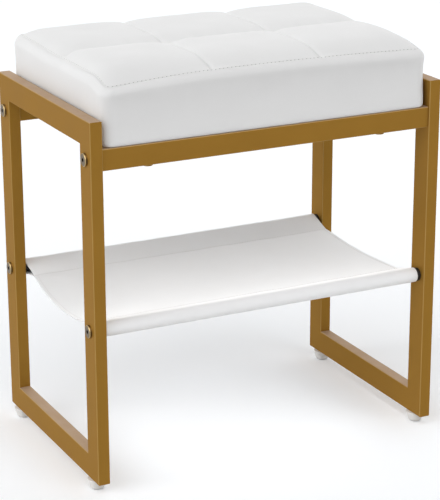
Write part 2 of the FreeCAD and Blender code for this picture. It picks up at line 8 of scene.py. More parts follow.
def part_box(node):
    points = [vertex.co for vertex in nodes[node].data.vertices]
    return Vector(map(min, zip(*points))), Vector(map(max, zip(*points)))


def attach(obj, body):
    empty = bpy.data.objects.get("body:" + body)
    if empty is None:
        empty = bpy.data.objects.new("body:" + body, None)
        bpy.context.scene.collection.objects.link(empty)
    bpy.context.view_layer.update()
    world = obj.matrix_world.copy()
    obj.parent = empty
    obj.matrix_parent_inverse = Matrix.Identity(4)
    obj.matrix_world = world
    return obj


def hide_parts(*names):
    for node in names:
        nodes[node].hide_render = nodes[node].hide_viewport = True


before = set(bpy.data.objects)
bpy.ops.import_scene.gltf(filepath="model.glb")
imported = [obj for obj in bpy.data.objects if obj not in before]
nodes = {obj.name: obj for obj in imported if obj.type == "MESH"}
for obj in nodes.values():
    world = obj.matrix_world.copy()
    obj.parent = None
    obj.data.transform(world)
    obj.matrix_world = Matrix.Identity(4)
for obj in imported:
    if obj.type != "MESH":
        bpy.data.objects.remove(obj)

scene = bpy.context.scene
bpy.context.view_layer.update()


# Camera: a long lens in front of the stool's left corner, a little above the
# seat, which shows the front, the left loop and the top of the cushion.

camera_place = Vector((-0.98123, -1.95761, 0.94626))
camera_heading = math.radians(26.68)
camera_tilt = math.radians(-18.28)
camera_roll = math.radians(-0.17)
camera_data = bpy.data.cameras.new("camera")
camera_data.lens = 135.1
camera_data.sensor_width = 36.0
camera = bpy.data.objects.new("camera", camera_data)
scene.collection.objects.link(camera)
ahead = Vector((
    math.sin(camera_heading) * math.cos(camera_tilt),
    math.cos(camera_heading) * math.cos(camera_tilt),
    math.sin(camera_tilt),
))
level_right = ahead.cross(Vector((0, 0, 1))).normalized()
level_up = level_right.cross(ahead)
camera_right = level_right * math.cos(camera_roll) + level_up * math.sin(camera_roll)
camera_up = level_up * math.cos(camera_roll) - level_right * math.sin(camera_roll)
turn = Matrix((camera_right, camera_up, -ahead)).transposed().to_4x4()
camera.matrix_world = Matrix.Translation(camera_place) @ turn
scene.camera = camera


# Studio: white surroundings that light the stool softly and mostly from low
# round the sides and the back, so that light reaches under the seat, a soft
# lamp on the left and one in front, and a pale floor that keeps the shadow.

scene.view_settings.view_transform = "Standard"


def add_node(tree, kind, **settings):
    """Adds a shader node and sets its properties."""
    made = tree.nodes.new(kind)
    for name, value in settings.items():
        setattr(made, name, value)
    return made


def feed(tree, socket, value):
    """Links a socket to an input, or sets a plain value on it."""
    if isinstance(value, bpy.types.NodeSocket):
        tree.links.new(value, socket)
    else:
        socket.default_value = value


def math_node(tree, operation, *terms):
    """Math node fed by sockets or plain numbers; gives its result socket."""
    made = add_node(tree, "ShaderNodeMath", operation=operation)
    for place, term in enumerate(terms):
        feed(tree, made.inputs[place], term)
    return made.outputs[0]


def split_axes(tree, vector):
    """The X, Y and Z of a vector socket."""
    made = add_node(tree, "ShaderNodeSeparateXYZ")
    tree.links.new(vector, made.inputs[0])
    return made.outputs


def ranged(tree, value, start, end, low, high, **settings):
    """Value carried over from one range of numbers to another."""
    made = add_node(tree, "ShaderNodeMapRange", **settings)
    labels = ("Value", "From Min", "From Max", "To Min", "To Max")
    for label, number in zip(labels, (value, start, end, low, high)):
        feed(tree, made.inputs[label], number)
    return made.outputs["Result"]


def plain_shader(tree, kind, color, **values):
    """Simple shader of one colour; gives its result socket."""
    made = add_node(tree, kind)
    made.inputs["Color"].default_value = color
    for label, value in values.items():
        feed(tree, made.inputs[label], value)
    return made.outputs[0]


def shown_or_lighting(tree, lighting, shown):
    """One shader for rays that show the surroundings themselves, and
    another for rays that only carry their light."""
    rays = add_node(tree, "ShaderNodeLightPath").outputs
    direct = math_node(tree, "MAXIMUM", rays["Is Camera Ray"], rays["Is Glossy Ray"])
    direct = math_node(tree, "MAXIMUM", direct, rays["Is Transmission Ray"])
    made = add_node(tree, "ShaderNodeMixShader")
    for place, socket in enumerate((direct, lighting, shown)):
        tree.links.new(socket, made.inputs[place])
    return made.outputs[0]


pure_white = (1.0, 1.0, 1.0, 1.0)
low_light, high_light = 1.53, 0.05
fade_start, fade_end = 0.42, 0.85
front_share = 0.0
left_share = 0.60
right_share = 1.28
back_share = 1.22
world = bpy.data.worlds.new("studio")
world.use_nodes = True
scene.world = world
sky = world.node_tree
sky.nodes.clear()
outward = split_axes(sky, add_node(sky, "ShaderNodeTexCoord").outputs["Generated"])
by_height = ranged(
    sky, outward["Z"], fade_start, fade_end, low_light, high_light, interpolation_type="SMOOTHSTEP")
by_side = 1.0
for axis, sign, share in (
    ("Y", -1.0, front_share), ("X", -1.0, left_share),
    ("X", 1.0, right_share), ("Y", 1.0, back_share),
):
    toward = math_node(sky, "MAXIMUM", math_node(sky, "MULTIPLY", outward[axis], sign), 0.0)
    by_side = math_node(sky, "MULTIPLY_ADD", toward, share - 1.0, by_side)
sky_strength = math_node(sky, "MULTIPLY", by_height, by_side)
fill = plain_shader(sky, "ShaderNodeBackground", pure_white, Strength=sky_strength)
white = plain_shader(sky, "ShaderNodeBackground", pure_white, Strength=1.0)
sky_out = add_node(sky, "ShaderNodeOutputWorld")
sky.links.new(shown_or_lighting(sky, fill, white), sky_out.inputs["Surface"])

for lamp_name, travels, strength, spread in (
    ("left_lamp", (0.82, 0.12, -0.55), 1.06, 50.0),
    ("front_lamp", (0.10, 0.61, -0.78), 1.30, 60.0),
):
    lamp_data = bpy.data.lights.new(lamp_name, "SUN")
    lamp_data.energy = strength
    lamp_data.angle = math.radians(spread)
    lamp = bpy.data.objects.new(lamp_name, lamp_data)
    lamp.rotation_mode = "QUATERNION"
    lamp.rotation_quaternion = Vector(travels).to_track_quat("-Z", "Y")
    scene.collection.objects.link(lamp)

half_floor = 6.0
floor_gap = 0.0002
floor_mesh = bpy.data.meshes.new("floor")
floor_mesh.from_pydata(
    [(x * half_floor, y * half_floor, 0) for x, y in ((-1, -1), (1, -1), (1, 1), (-1, 1))],
    [], [(0, 1, 2, 3)],
)
floor = bpy.data.objects.new("floor", floor_mesh)
floor.location.z = -floor_gap
scene.collection.objects.link(floor)

floor_paint = bpy.data.materials.new("floor_paint")
floor_paint.use_nodes = True
tree = floor_paint.node_tree
tree.nodes.clear()
shown_color = (0.955, 0.975, 1.0, 1.0)
bounce_color = (0.80, 0.80, 0.80, 1.0)
shown = plain_shader(tree, "ShaderNodeBsdfDiffuse", shown_color)
lift = plain_shader(tree, "ShaderNodeEmission", pure_white, Strength=0.06)
shown_and_lift = add_node(tree, "ShaderNodeAddShader")
tree.links.new(shown, shown_and_lift.inputs[0])
tree.links.new(lift, shown_and_lift.inputs[1])
bounce = plain_shader(tree, "ShaderNodeBsdfDiffuse", bounce_color)
either_floor = shown_or_lighting(tree, bounce, shown_and_lift.outputs[0])
floor_out = add_node(tree, "ShaderNodeOutputMaterial")
tree.links.new(either_floor, floor_out.inputs["Surface"])
floor_mesh.materials.append(floor_paint)


# Loops and rails: flat and square steel tube, mitred and welded, then powder
# coated in a satin gold, with a painted highlight along the rounded edges and
# a painted reflection that lightens the faces looking upward.

def new_group(name, values, results):
    """Empty node group; values are (name, default), results (name, kind)."""
    group = bpy.data.node_groups.new(name, "ShaderNodeTree")
    for label, default in values:
        kind = "NodeSocketColor" if isinstance(default, tuple) else "NodeSocketFloat"
        socket = group.interface.new_socket(label, in_out="INPUT", socket_type=kind)
        socket.default_value = default
    for label, kind in results:
        group.interface.new_socket(label, in_out="OUTPUT", socket_type=kind)
    entry = group.nodes.new("NodeGroupInput")
    leave = group.nodes.new("NodeGroupOutput")
    return group, entry, leave


def per_metre(tree, size_socket):
    """Noise scale for a feature of that size in metres."""
    return math_node(tree, "DIVIDE", 1.0, size_socket)


def object_place(tree):
    """Each point's place on its object, in metres."""
    return add_node(tree, "ShaderNodeTexCoord").outputs["Object"]


def noise_map(tree, place, scale, detail=2.0):
    """Outputs of a noise texture at a place socket."""
    made = add_node(tree, "ShaderNodeTexNoise")
    made.inputs["Detail"].default_value = detail
    feed(tree, made.inputs["Scale"], scale)
    tree.links.new(place, made.inputs["Vector"])
    return made.outputs


def mixed(tree, share, first, second, blend_type="MIX"):
    """Mix of two colours; all three are sockets or plain values."""
    made = add_node(tree, "ShaderNodeMix", data_type="RGBA", blend_type=blend_type)
    for label, value in (("Factor", share), ("A", first), ("B", second)):
        feed(tree, made.inputs[label], value)
    return made.outputs["Result"]


# Slow drift of tone over a surface, as paint, cloth and plastic have
tone_drift, entry, leave = new_group(
    "tone_drift",
    [("Color", (0.5, 0.5, 0.5, 1.0)), ("Amount", 0.1), ("Patch size", 0.05)],
    [("Color", "NodeSocketColor"), ("Mask", "NodeSocketFloat")],
)
patch_scale = per_metre(tone_drift, entry.outputs["Patch size"])
patches = noise_map(tone_drift, object_place(tone_drift), patch_scale, 3.0)["Fac"]
centred = math_node(tone_drift, "SUBTRACT", patches, 0.5)
change = math_node(tone_drift, "MULTIPLY", centred, entry.outputs["Amount"])
level = math_node(tone_drift, "ADD", change, 1.0)
toned = add_node(tone_drift, "ShaderNodeVectorMath", operation="SCALE")
tone_drift.links.new(entry.outputs["Color"], toned.inputs[0])
tone_drift.links.new(level, toned.inputs["Scale"])
tone_drift.links.new(toned.outputs[0], leave.inputs["Color"])
tone_drift.links.new(patches, leave.inputs["Mask"])

# Fine pebbled skin of a sprayed or moulded surface
pebbled_skin, entry, leave = new_group(
    "pebbled_skin", [("Pebble size", 0.001)], [("Height", "NodeSocketFloat")])
pebble_scale = per_metre(pebbled_skin, entry.outputs["Pebble size"])
pebbles = noise_map(pebbled_skin, object_place(pebbled_skin), pebble_scale, 1.5)["Fac"]
pebbled_skin.links.new(pebbles, leave.inputs["Height"])

# Painted highlight: a brighter line along the rounded edges of square-cut tube
# and board, where the surface faces none of the six main directions
edge_highlight, entry, leave = new_group(
    "edge_highlight",
    [("Color", (0.5, 0.5, 0.5, 1.0)), ("Edge color", (1.0, 1.0, 1.0, 1.0)), ("Amount", 0.3)],
    [("Color", "NodeSocketColor")],
)
facing = split_axes(edge_highlight, add_node(edge_highlight, "ShaderNodeNewGeometry").outputs["Normal"])
sides = [math_node(edge_highlight, "ABSOLUTE", facing[axis]) for axis in range(3)]
widest = math_node(edge_highlight, "MAXIMUM", sides[0], sides[1])
widest = math_node(edge_highlight, "MAXIMUM", widest, sides[2])
askew = math_node(edge_highlight, "SUBTRACT", 1.0, widest)
mask = math_node(edge_highlight, "MINIMUM", math_node(edge_highlight, "MULTIPLY", askew, 4.0), 1.0)
highlight_share = math_node(edge_highlight, "MULTIPLY", mask, entry.outputs["Amount"])
edge_mix = mixed(edge_highlight, highlight_share, entry.outputs["Color"], entry.outputs["Edge color"])
edge_highlight.links.new(edge_mix, leave.inputs["Color"])


def new_finish(name, roughness, **constants):
    """Material with one Principled shader; constants go on its own sockets."""
    finish = bpy.data.materials.new(name)
    finish.use_nodes = True
    shader = finish.node_tree.nodes["Principled BSDF"]
    shader.inputs["Roughness"].default_value = roughness
    for label, value in constants.items():
        shader.inputs[label.replace("_", " ")].default_value = value
    return finish, finish.node_tree, shader


def use_group(tree, group, **values):
    """Places a node group; values are numbers, colours or sockets."""
    made = add_node(tree, "ShaderNodeGroup", node_tree=group)
    for label, value in values.items():
        feed(tree, made.inputs[label.replace("_", " ")], value)
    return made


def add_bump(tree, shader, height, distance):
    """Bump of a real depth in metres, into the shader's normal."""
    bump = add_node(tree, "ShaderNodeBump")
    bump.inputs["Strength"].default_value = 1.0
    bump.inputs["Distance"].default_value = distance
    tree.links.new(height, bump.inputs["Height"])
    tree.links.new(bump.outputs["Normal"], shader.inputs["Normal"])


def varied_roughness(tree, shader, mask, low, high):
    """Roughness that follows a mask between two values."""
    tree.links.new(ranged(tree, mask, 0.0, 1.0, low, high), shader.inputs["Roughness"])


def add_skin(tree, shader, pebble_size, depth):
    """Pebbled skin as bump, with its own pebble size and depth."""
    skin = use_group(tree, pebbled_skin, Pebble_size=pebble_size)
    add_bump(tree, shader, skin.outputs["Height"], depth)


# Painted reflection: faces that look upward are lightened in patches towards a pale colour, as a
# glossy coat shows the bright surroundings
painted_top_reflection, entry, leave = new_group(
    "painted_top_reflection",
    [("Color", (0.5, 0.5, 0.5, 1.0)), ("Dust color", (0.6, 0.55, 0.5, 1.0)), ("Amount", 0.3)],
    [("Color", "NodeSocketColor")],
)
facing = split_axes(painted_top_reflection, add_node(painted_top_reflection, "ShaderNodeNewGeometry").outputs["Normal"])
upward_part = math_node(painted_top_reflection, "MAXIMUM", facing["Z"], 0.0)
upward_share = math_node(painted_top_reflection, "POWER", upward_part, 3.0)
reflection_patches = noise_map(painted_top_reflection, object_place(painted_top_reflection), 45.0, 4.0)["Fac"]
patchy = math_node(painted_top_reflection, "MULTIPLY_ADD", reflection_patches, 0.5, 0.75)
mask = math_node(painted_top_reflection, "MULTIPLY", upward_share, patchy)
reflection_share = math_node(painted_top_reflection, "MULTIPLY", mask, entry.outputs["Amount"])
dusting = mixed(painted_top_reflection, reflection_share, entry.outputs["Color"], entry.outputs["Dust color"])
painted_top_reflection.links.new(dusting, leave.inputs["Color"])

gold_color = (0.312, 0.163, 0.029, 1.0)
gold_highlight_color = (0.72, 0.53, 0.25, 1.0)
top_reflection_color = (0.66, 0.55, 0.48, 1.0)
gold_coat, tree, shader = new_finish("gold_coat", 0.42, Metallic=0.3, Specular_IOR_Level=0.0)
drift = use_group(tree, tone_drift, Color=gold_color, Amount=0.16, Patch_size=0.06)
# painted reflection of the bright surroundings on the upward faces of the tube
top_reflection = use_group(tree, painted_top_reflection, Color=drift.outputs["Color"], Dust_color=top_reflection_color, Amount=0.42)
# painted highlight along the rounded edges of the tube
edges = use_group(
    tree, edge_highlight, Color=top_reflection.outputs["Color"], Edge_color=gold_highlight_color, Amount=0.28)
tree.links.new(edges.outputs["Color"], shader.inputs["Base Color"])
varied_roughness(tree, shader, drift.outputs["Mask"], 0.36, 0.50)
add_skin(tree, shader, 0.0009, 0.00004)


def repaint(names, finish):
    """Puts a finish on CAD nodes."""
    for name in names:
        for slot in nodes[name].material_slots:
            slot.material = finish


loop_bars = [
    "%s_%s" % (side, bar)
    for side in ("left", "right")
    for bar in ("front_leg", "rear_leg", "top_bar", "bottom_bar")
]
repaint(loop_bars + ["front_rail", "rear_rail"], gold_coat)


# Shelf rods: round steel tube, powder coated black. Only their ends show,
# between the sleeve of the fabric and the leg.

def toned_color(tree, shader, color, amount, patch_size):
    """Base colour with a slow drift of tone; gives the drift's mask."""
    drift = use_group(tree, tone_drift, Color=color, Amount=amount, Patch_size=patch_size)
    tree.links.new(drift.outputs["Color"], shader.inputs["Base Color"])
    return drift.outputs["Mask"]


black_coat, tree, shader = new_finish("black_coat", 0.4, Specular_IOR_Level=0.4)
patches = toned_color(tree, shader, (0.012, 0.012, 0.013, 1.0), 0.3, 0.02)
varied_roughness(tree, shader, patches, 0.32, 0.5)
add_skin(tree, shader, 0.0009, 0.00004)
repaint(["front_shelf_rod", "rear_shelf_rod"], black_coat)


# Bolts: steel with a bronze plating, flat heads with a hexagon socket. The
# plating is a little cloudy, with a painted highlight on the rims of the heads,
# and the socket is painted dark as shade. The seat screws under the rails are
# lacquered in the gold of the frame.

bolt_low, bolt_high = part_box("rail_bolts")
rod_bolt_low, rod_bolt_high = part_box("shelf_rod_bolts")
socket_radius = 0.0024
bolt_color = (0.15, 0.105, 0.055, 1.0)
bolt_highlight_color = (0.66, 0.50, 0.24, 1.0)
socket_shade_color = (0.015, 0.013, 0.010, 1.0)
plated_bronze, tree, shader = new_finish("plated_bronze", 0.3, Metallic=1.0)
drift = use_group(tree, tone_drift, Color=bolt_color, Amount=0.5, Patch_size=0.004)
# painted highlight on the rims of the bolt heads
edges = use_group(
    tree, edge_highlight, Color=drift.outputs["Color"], Edge_color=bolt_highlight_color, Amount=0.55)
bolt_axes = split_axes(tree, object_place(tree))
bolt_y = (bolt_high.y - bolt_low.y) / 2 - (bolt_high.z - bolt_low.z) / 2
off_y = math_node(tree, "SUBTRACT", math_node(tree, "ABSOLUTE", bolt_axes["Y"]), bolt_y)
off_rail, off_rod = (
    math_node(tree, "ABSOLUTE", math_node(tree, "SUBTRACT", bolt_axes["Z"], (low.z + high.z) / 2))
    for low, high in ((bolt_low, bolt_high), (rod_bolt_low, rod_bolt_high))
)
off_z = math_node(tree, "MINIMUM", off_rail, off_rod)
off_axis = math_node(tree, "SQRT", math_node(
    tree, "ADD", math_node(tree, "POWER", off_y, 2.0), math_node(tree, "POWER", off_z, 2.0)))
# painted shade: the hexagon socket is coloured nearly black
in_socket = math_node(tree, "LESS_THAN", off_axis, socket_radius)
socket_shaded = mixed(tree, in_socket, edges.outputs["Color"], socket_shade_color)
tree.links.new(socket_shaded, shader.inputs["Base Color"])
varied_roughness(tree, shader, drift.outputs["Mask"], 0.22, 0.42)
add_skin(tree, shader, 0.0005, 0.00001)
repaint(["rail_bolts", "shelf_rod_bolts"], plated_bronze)
repaint(["seat_screws"], gold_coat)


# Tapped plates, plugs, weld nuts, tee nuts and foot studs: zinc-plated steel
# inside the tubes and the board, where the plating keeps its crystals. The
# staples under the seat have the same plating.

def cell_map(tree, place, scale, **settings):
    """Distance output of a cell texture at a place socket."""
    made = add_node(tree, "ShaderNodeTexVoronoi", **settings)
    feed(tree, made.inputs["Scale"], scale)
    tree.links.new(place, made.inputs["Vector"])
    return made.outputs["Distance"]


zinc_plate, tree, shader = new_finish("zinc_plate", 0.35, Metallic=1.0)
toned_color(tree, shader, (0.56, 0.57, 0.58, 1.0), 0.25, 0.01)
crystals = cell_map(tree, object_place(tree), 600.0)
varied_roughness(tree, shader, crystals, 0.28, 0.45)
foot_names = [
    "%s_%s_foot" % (place, side) for place in ("front", "rear") for side in ("left", "right")
]
repaint(["rail_end_plates", "rod_end_plugs", "seat_tee_nuts", "foot_weld_nuts"], zinc_plate)
repaint([name + "_stud" for name in foot_names], zinc_plate)


# Feet: white plastic pads moulded on their studs, tapered to the floor, with
# the fine matt skin of the mould, and darker in a thin band at the floor.

foot_plastic, tree, shader = new_finish("foot_plastic", 0.45, Specular_IOR_Level=0.4)
drift = use_group(tree, tone_drift, Color=(0.80, 0.79, 0.77, 1.0), Amount=0.08, Patch_size=0.006)
# pads darker towards the floor, over their lowest few millimetres
dark_band_height, darkening_at_floor = 0.004, 0.3
floor_band_color = (0.50, 0.48, 0.45, 1.0)
height = split_axes(tree, object_place(tree))["Z"]
near_floor = ranged(tree, height, 0.0, dark_band_height, darkening_at_floor, 0.0)
darkened = mixed(tree, near_floor, drift.outputs["Color"], floor_band_color)
tree.links.new(darkened, shader.inputs["Base Color"])
add_skin(tree, shader, 0.0006, 0.00003)
repaint([name + "_pad" for name in foot_names], foot_plastic)


# Seat board: raw plywood inside the cushion, its plies showing along the
# edge and a straight grain on its faces.

plywood, tree, shader = new_finish("plywood", 0.7, Specular_IOR_Level=0.25)
pale_wood = (0.62, 0.45, 0.26, 1.0)
dark_wood = (0.38, 0.24, 0.12, 1.0)
board_place = object_place(tree)
stretched = add_node(tree, "ShaderNodeMapping")
stretched.inputs["Scale"].default_value = (6.0, 90.0, 90.0)
tree.links.new(board_place, stretched.inputs["Vector"])
grain = noise_map(tree, stretched.outputs["Vector"], 1.0, 6.0)["Fac"]
plies = add_node(tree, "ShaderNodeTexWave", bands_direction="Z")
plies.inputs["Scale"].default_value = 130.0
tree.links.new(board_place, plies.inputs["Vector"])
grain_mix = mixed(tree, grain, pale_wood, dark_wood)
ply_mix = mixed(tree, 0.25, grain_mix, plies.outputs["Color"], "MULTIPLY")
tree.links.new(ply_mix, shader.inputs["Base Color"])
add_bump(tree, shader, grain, 0.0002)
repaint(["seat_board"], plywood)


# Shelf sling: one cut of white woven fabric. Each end goes over a rod and is
# sewn back to itself as a pocket; the two free sides have narrow sewn hems.
# It hangs slacker on the left than on the right.

fabric_thickness = 0.0007
rod_low, rod_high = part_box("rear_shelf_rod")
rod_y = (rod_low.y + rod_high.y) / 2
rod_z = (rod_low.z + rod_high.z) / 2
rod_radius = (rod_high.z - rod_low.z) / 2
sling_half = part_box("shelf_sling")[1].x
wrap_gap = 0.00015
wrap_radius = rod_radius + wrap_gap + fabric_thickness / 2
pocket_seam_y = rod_y - 0.035
pocket_seam_z = rod_z - 0.0025
flap_past_seam = 0.006
sag_left = 0.0165
sag_middle = 0.0105
sag_right = 0.0035
hem_width = 0.008
nearer_left = 0.003
edge_pull = 0.0025
span_steps = 24
ripple_depth = 0.0007
fold_depth, fold_width = 0.0022, 0.009


def smooth_step(value, start, end):
    """0 before start, 1 after end, and a smooth turn between them."""
    share = np.clip((value - start) / (end - start), 0.0, 1.0)
    return share * share * (3 - 2 * share)


def bell(value, middle, width):
    """1 at the middle, falling smoothly to 0 on both sides."""
    return np.exp(-((value - middle) / width) ** 2)


def sag_at(x):
    """Depth of the hanging cloth below its sewn lines, along the shelf."""
    along = x / sling_half
    tilt = (sag_right - sag_left) / 2
    bow = (sag_left + sag_right) / 2 - sag_middle
    return sag_middle + tilt * along + bow * along ** 2


def pocket_half():
    """Rear half of the cloth's centre line, from mid-span to the flap's end.

    Each point is (y, z as a height above the sag, kind); the sag fades out
    over the span only.
    """
    reach = math.hypot(rod_y - pocket_seam_y, rod_z - pocket_seam_z)
    toward = math.atan2(pocket_seam_z - rod_z, pocket_seam_y - rod_y)
    opening = math.acos(wrap_radius / reach)
    upper = toward - opening
    lower = toward + opening - 2 * math.pi

    def round_rod(angle):
        return rod_y + wrap_radius * math.cos(angle), rod_z + wrap_radius * math.sin(angle)

    def straight(start, end, steps):
        """Places from start towards end, which isn't one of them."""
        return [
            (start[0] + share * (end[0] - start[0]), start[1] + share * (end[1] - start[1]))
            for share in np.linspace(0.0, 1.0, steps + 1)[:-1]
        ]

    seam = (pocket_seam_y, pocket_seam_z)
    under_seam = (pocket_seam_y, pocket_seam_z - 1.15 * fabric_thickness)
    points = straight((0.0, pocket_seam_z), seam, span_steps)
    points += straight(seam, round_rod(upper), 8)
    points += [round_rod(angle) for angle in np.linspace(upper, lower, 27)[:-1]]
    points += straight(round_rod(lower), under_seam, 8)
    for share in np.linspace(0.0, 1.0, 4):
        points.append((pocket_seam_y - share * flap_past_seam, under_seam[1]))
    return np.array(points)


rear_half = pocket_half()
front_half = rear_half[:0:-1] * (-1, 1)
centre_line = np.vstack([front_half, rear_half])
steps = np.hypot(*np.diff(centre_line, axis=0).T)
cloth_length = np.concatenate([[0.0], np.cumsum(steps)])
across_lines = np.unique(np.concatenate([
    np.linspace(-sling_half, sling_half, 105),
    [-sling_half + hem_width, -sling_half + hem_width + 0.0006],
    [sling_half - hem_width, sling_half - hem_width - 0.0006],
    [-sling_half + 0.0012, sling_half - 0.0012],
]))


def hang_section(x):
    """Centre line of the cloth at one place along the shelf."""
    y, z = centre_line[:, 0].copy(), centre_line[:, 1].copy()
    spans = np.abs(y) < pocket_seam_y - 1e-6
    z -= np.where(spans, sag_at(x) * (1 - (y / pocket_seam_y) ** 2), 0.0)
    upper_side = z > pocket_seam_z - 0.5 * fabric_thickness
    end_share = smooth_step(abs(x) / sling_half, 0.72, 1.0)
    ripple = np.array([
        noise.noise(Vector((x * 34.0, 3.1 + abs(v) * 9.0, 0.7 if v > 0 else 5.2))) for v in y
    ])
    beside_seam = bell(np.abs(y), pocket_seam_y, 0.016)
    z += np.where(upper_side | spans, ripple_depth * ripple * (0.35 + 0.65 * beside_seam), 0.0)
    if x < 0:
        fold_line = np.abs(y) - (pocket_seam_y + 0.012 - (x + sling_half) * 0.55)
        fold = bell(fold_line, 0.0, fold_width) * end_share
        z -= np.where(spans, fold_depth * fold, 0.0)
    return y, z


def grid_rim(columns, rows):
    """Places round the rim of a grid in order, each a column and a row."""
    return (
        [(i, 0) for i in range(columns - 1)]
        + [(columns - 1, j) for j in range(rows - 1)]
        + [(i, rows - 1) for i in range(columns - 1, 0, -1)]
        + [(0, j) for j in range(rows - 1, 0, -1)]
    )


def two_sided_faces(columns, rows):
    """Faces of a thin sheet: its upper side, its under side, whose points
    follow those of the upper side, and the rim between them."""
    start = columns * rows
    faces = []
    for i in range(columns - 1):
        for j in range(rows - 1):
            a, b = i * rows + j, (i + 1) * rows + j
            faces.append((a, b, b + 1, a + 1))
            faces.append((start + a + 1, start + b + 1, start + b, start + a))
    rim = [i * rows + j for i, j in grid_rim(columns, rows)]
    for a, b in zip(rim, rim[1:] + rim[:1]):
        faces.append((b, a, start + a, start + b))
    return faces


def build_sling():
    """Points and faces of the cloth, and each point's place on the flat cut."""
    top, under, cloth_place = [], [], []
    for x in across_lines:
        y, z = hang_section(x)
        tangent = np.stack([np.gradient(y), np.gradient(z)], axis=1)
        tangent /= np.linalg.norm(tangent, axis=1)[:, None]
        edge_gap = sling_half - abs(x)
        hem = 1.0 if edge_gap <= hem_width + 1e-6 else 0.0
        spans = np.abs(y) < pocket_seam_y - 0.002
        upper_half = fabric_thickness / 2
        lower_half = upper_half + np.where(spans, hem * fabric_thickness, 0.0)
        pull = edge_pull * smooth_step(sling_half - edge_gap, sling_half * 0.7, sling_half)
        neck = 0.3 * bell(np.abs(y), rod_y - 0.030, 0.012) + 0.6 * bell(y, 0.0, 0.06)
        x_line = x - math.copysign(1.0, x) * pull * neck + nearer_left * min(x / sling_half, 0.0)
        for side, offset in ((top, upper_half), (under, -lower_half)):
            aside, above = -tangent[:, 1] * offset, tangent[:, 0] * offset
            side.append(np.stack([x_line, y + aside, z + above], axis=1))
        cloth_place.append(np.stack([np.full(len(y), x), cloth_length, np.zeros(len(y))], axis=1))
    points = np.concatenate([np.array(side).reshape(-1, 3) for side in (top, under)])
    faces = two_sided_faces(len(across_lines), len(centre_line))
    return points, faces, np.concatenate([np.array(cloth_place).reshape(-1, 3)] * 2)


def new_piece(name, points, faces, finish, smooth=True):
    """Mesh object from points and faces, with one finish."""
    mesh = bpy.data.meshes.new(name)
    mesh.from_pydata([tuple(p) for p in points], [], faces)
    mesh.validate()
    mesh.polygons.foreach_set("use_smooth", [smooth] * len(mesh.polygons))
    mesh.materials.append(finish)
    mesh.update()
    piece = bpy.data.objects.new(name, mesh)
    scene.collection.objects.link(piece)
    return piece


# Plain weave: threads pass over and under each other in both directions
plain_weave, entry, leave = new_group(
    "plain_weave", [("Thread spacing", 0.0008)],
    [("Height", "NodeSocketFloat"), ("Mask", "NodeSocketFloat")],
)
cloth_attribute = add_node(plain_weave, "ShaderNodeAttribute", attribute_name="cloth_place")
cloth_axes = split_axes(plain_weave, cloth_attribute.outputs["Vector"])
turns = math_node(plain_weave, "DIVIDE", math.pi, entry.outputs["Thread spacing"])
waves = [
    math_node(plain_weave, "SINE", math_node(plain_weave, "MULTIPLY", cloth_axes[axis], turns))
    for axis in (0, 1)
]
over_under = math_node(plain_weave, "MULTIPLY", waves[0], waves[1])
plain_weave.links.new(over_under, leave.inputs["Height"])
plain_weave.links.new(math_node(plain_weave, "ABSOLUTE", over_under), leave.inputs["Mask"])

white_weave, tree, shader = new_finish(
    "white_weave", 0.8, Specular_IOR_Level=0.4, Sheen_Weight=1.0, Sheen_Roughness=0.5)
low_thread = (0.91, 0.915, 0.925, 1.0)
high_thread = (0.95, 0.955, 0.96, 1.0)
threads = use_group(tree, plain_weave, Thread_spacing=0.0009)
thread_color = mixed(tree, threads.outputs["Mask"], low_thread, high_thread)
toned_color(tree, shader, thread_color, 0.05, 0.03)
add_bump(tree, shader, threads.outputs["Height"], 0.00006)
repaint(["shelf_sling"], white_weave)

sling_points, sling_faces, sling_cloth = build_sling()
sling = new_piece("fabric_sling", sling_points, sling_faces, white_weave)
cloth_layer = sling.data.attributes.new("cloth_place", "FLOAT_VECTOR", "POINT")
cloth_layer.data.foreach_set("vector", sling_cloth.astype(np.float32).ravel())
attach(sling, "stool")
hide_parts("shelf_sling")


# Sling stitching: a row of white lockstitch along each pocket and each hem,
# every stitch sunk a little in the cloth.

def stitch_row(points, normals, stitch, gap, width, height, phase=0.5):
    """Stitches along a line, as small flattened beads of thread."""
    points = np.asarray(points, float)
    normals = np.asarray(normals, float)
    along = np.concatenate([[0.0], np.cumsum(np.linalg.norm(np.diff(points, axis=0), axis=1))])
    count = max(1, int(along[-1] / (stitch + gap)))
    pitch = along[-1] / count
    vertices, faces = [], []
    rings = ((-0.5, 0.25), (-0.38, 0.85), (0.0, 1.0), (0.38, 0.85), (0.5, 0.25))
    sides = 6
    for number in range(count):
        middle = (number + phase) * pitch
        centre, ahead_point, behind_point, up = (
            np.array([np.interp(at, along, source[:, k]) for k in range(3)])
            for at, source in (
                (middle, points), (middle + stitch / 2, points),
                (middle - stitch / 2, points), (middle, normals),
            )
        )
        direction = ahead_point - behind_point
        direction /= max(np.linalg.norm(direction), 1e-9)
        up = up - direction * (up @ direction)
        up /= np.linalg.norm(up)
        side = np.cross(direction, up)
        first = len(vertices)
        for offset, girth in rings:
            for k in range(sides):
                angle = 2 * math.pi * k / sides
                vertices.append(
                    centre + direction * offset * stitch
                    + side * math.cos(angle) * girth * width / 2
                    + up * math.sin(angle) * girth * height / 2
                )
        for ring in range(len(rings) - 1):
            for k in range(sides):
                a = first + ring * sides + k
                b = first + ring * sides + (k + 1) % sides
                faces.append((a, b, b + sides, a + sides))
        faces.append(tuple(first + k for k in range(sides))[::-1])
        faces.append(tuple(first + (len(rings) - 1) * sides + k for k in range(sides)))
    return vertices, faces


def join_rows(rows):
    """One list of points and faces from several rows."""
    vertices, faces = [], []
    for row_vertices, row_faces in rows:
        start = len(vertices)
        vertices.extend(row_vertices)
        faces.extend(tuple(start + index for index in face) for face in row_faces)
    return vertices, faces


white_thread, tree, shader = new_finish("white_thread", 0.6, Specular_IOR_Level=0.3)
toned_color(tree, shader, (0.78, 0.78, 0.77, 1.0), 0.2, 0.001)
add_skin(tree, shader, 0.0004, 0.00005)

